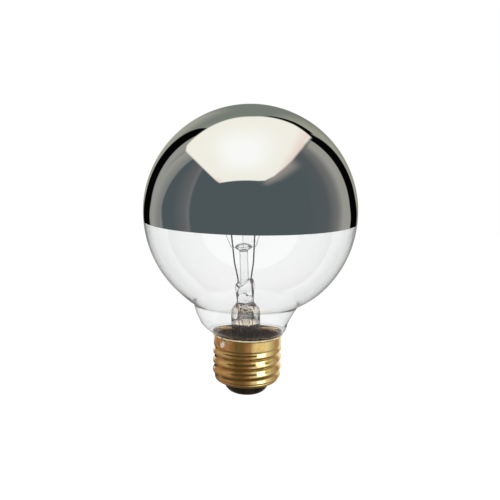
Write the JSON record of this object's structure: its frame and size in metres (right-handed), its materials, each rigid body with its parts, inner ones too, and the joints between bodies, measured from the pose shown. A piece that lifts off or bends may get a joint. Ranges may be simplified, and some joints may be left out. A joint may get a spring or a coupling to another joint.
{
  "type": "silver crown bulb",
  "caption": "Globe lamp bulb with a mirrored crown, clear lower glass with the wired glass mount inside, and a brass screw cap with a black glass insulator.",
  "frame": {"origin": "tip of the centre contact, on the axis of the cap and globe", "axes": "+Z from the contact up through the cap to the globe; -Y is the front; the mount leans towards -X"},
  "size_m": [0.0794, 0.0794, 0.1097],
  "materials": {
    "bulb_glass": "clear blown glass, smooth",
    "crown_mirror": "polished silver mirror coat",
    "cap_brass": "bright rolled brass sheet",
    "cap_insulator": "opaque black glass",
    "contact_brass": "pressed brass disc",
    "solder": "dull tin solder",
    "cement": "baked brown cement",
    "stem_glass": "clear lead glass, fire-polished",
    "lead_nickel": "drawn nickel wire",
    "seal_wire": "borated copper-clad wire",
    "lead_copper": "drawn copper wire",
    "support_metal": "drawn molybdenum wire",
    "tungsten": "coiled tungsten wire"
  },
  "bodies": {
    "root": {"glass_bulb": "bulb_glass", "silver_crown": "crown_mirror", "screw_shell": "cap_brass", "base_insulator": "cap_insulator", "centre_contact": "contact_brass", "centre_solder": "solder", "side_solder": "solder", "base_cement": "cement", "stem_flare": "stem_glass", "exhaust_tube": "stem_glass", "button_rod": "stem_glass", "inner_lead_left": "lead_nickel", "inner_lead_right": "lead_nickel", "seal_wire_left": "seal_wire", "seal_wire_right": "seal_wire", "outer_lead_centre": "lead_copper", "outer_lead_side": "lead_copper", "support_wire_1": "support_metal", "support_wire_2": "support_metal", "support_wire_3": "support_metal", "filament": "tungsten"}
  },
  "joints": []
}
